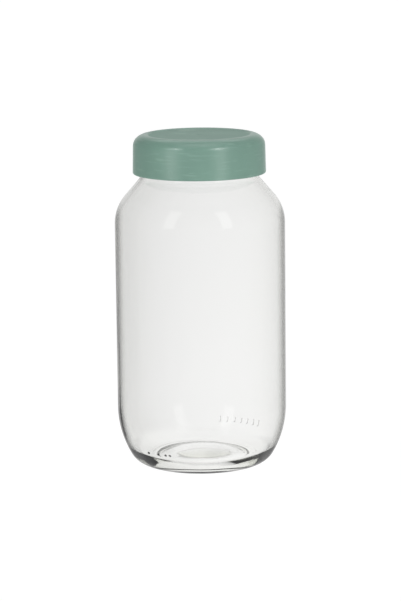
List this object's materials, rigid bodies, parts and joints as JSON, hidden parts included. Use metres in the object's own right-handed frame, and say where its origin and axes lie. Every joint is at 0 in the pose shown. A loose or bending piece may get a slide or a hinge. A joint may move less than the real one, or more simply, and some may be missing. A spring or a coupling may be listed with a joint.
{
  "type": "disinfectant jar",
  "caption": "Tall round clear glass jar with rounded shoulder and heel, and a smooth matt green plastic screw cap over a foam sealing liner.",
  "frame": {"origin": "centre of the ring that the jar stands on, in the plane of the surface under it", "axes": "+Z is the jar's axis of revolution, from its base up through the mouth and cap. +X and +Y are square to it; the mould-code dots are on the -Y side of the heel."},
  "size_m": [0.1, 0.1, 0.1959],
  "materials": {
    "clear_glass": "fire-polished clear soda-lime glass",
    "cap_plastic": "satin moulded polypropylene, sage green",
    "liner_foam": "matt white closed-cell foam sheet"
  },
  "bodies": {
    "jar": {"glass_jar": "clear_glass"},
    "liner": {"cap_liner": "liner_foam"},
    "cap": {"screw_cap": "cap_plastic"}
  },
  "joints": [
    {"name": "lid_rise", "type": "slide", "parent": "jar", "child": "liner", "axis": [0, 0, 1], "range_m": [0, 0.08]},
    {"name": "lid_turn", "type": "hinge", "parent": "liner", "child": "cap", "pos_m": [0, 0, 0.1729], "axis": [0, 0, 1], "range_deg": [0, 1800]}
  ],
  "couplings": [
    {"joint": "lid_rise", "follows": "lid_turn", "m_per_rad": 0.0025465}
  ]
}
